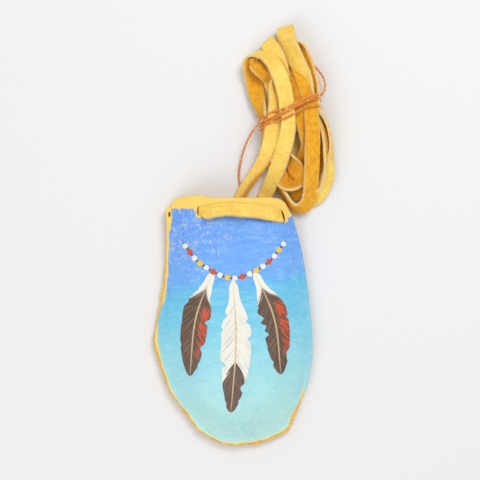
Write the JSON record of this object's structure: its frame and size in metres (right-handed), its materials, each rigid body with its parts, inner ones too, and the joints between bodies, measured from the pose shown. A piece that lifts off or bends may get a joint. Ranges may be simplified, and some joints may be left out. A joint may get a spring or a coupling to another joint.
{
  "type": "leather medicine pouch with drawstring neck lace",
  "caption": "Small folded leather pouch with a painted front, open at the top, its flat drawstring lace folded into a hank tied with waxed thread.",
  "frame": {"origin": "middle of the pouch's outline on the surface that it lies on", "axes": "+Y from the rounded bottom to the mouth, +Z out of the painted front, +X to the folded side"},
  "size_m": [0.0573, 0.1342, 0.0128],
  "materials": {
    "painted_leather": "acrylic paint on smooth leather, bare tan at the rim and edges",
    "buckskin_lace": "smooth grain on one face, suede on the other",
    "waxed_thread": "waxed twisted thread"
  },
  "bodies": {
    "root": {"pouch_body": "painted_leather", "corner_stitch": "waxed_thread", "drawstring_span": "buckskin_lace", "lead_left": "buckskin_lace", "lead_right": "buckskin_lace", "lace_hank": "buckskin_lace", "tie_wraps": "waxed_thread", "tie_tail": "waxed_thread", "tie_loop": "waxed_thread"}
  },
  "joints": []
}
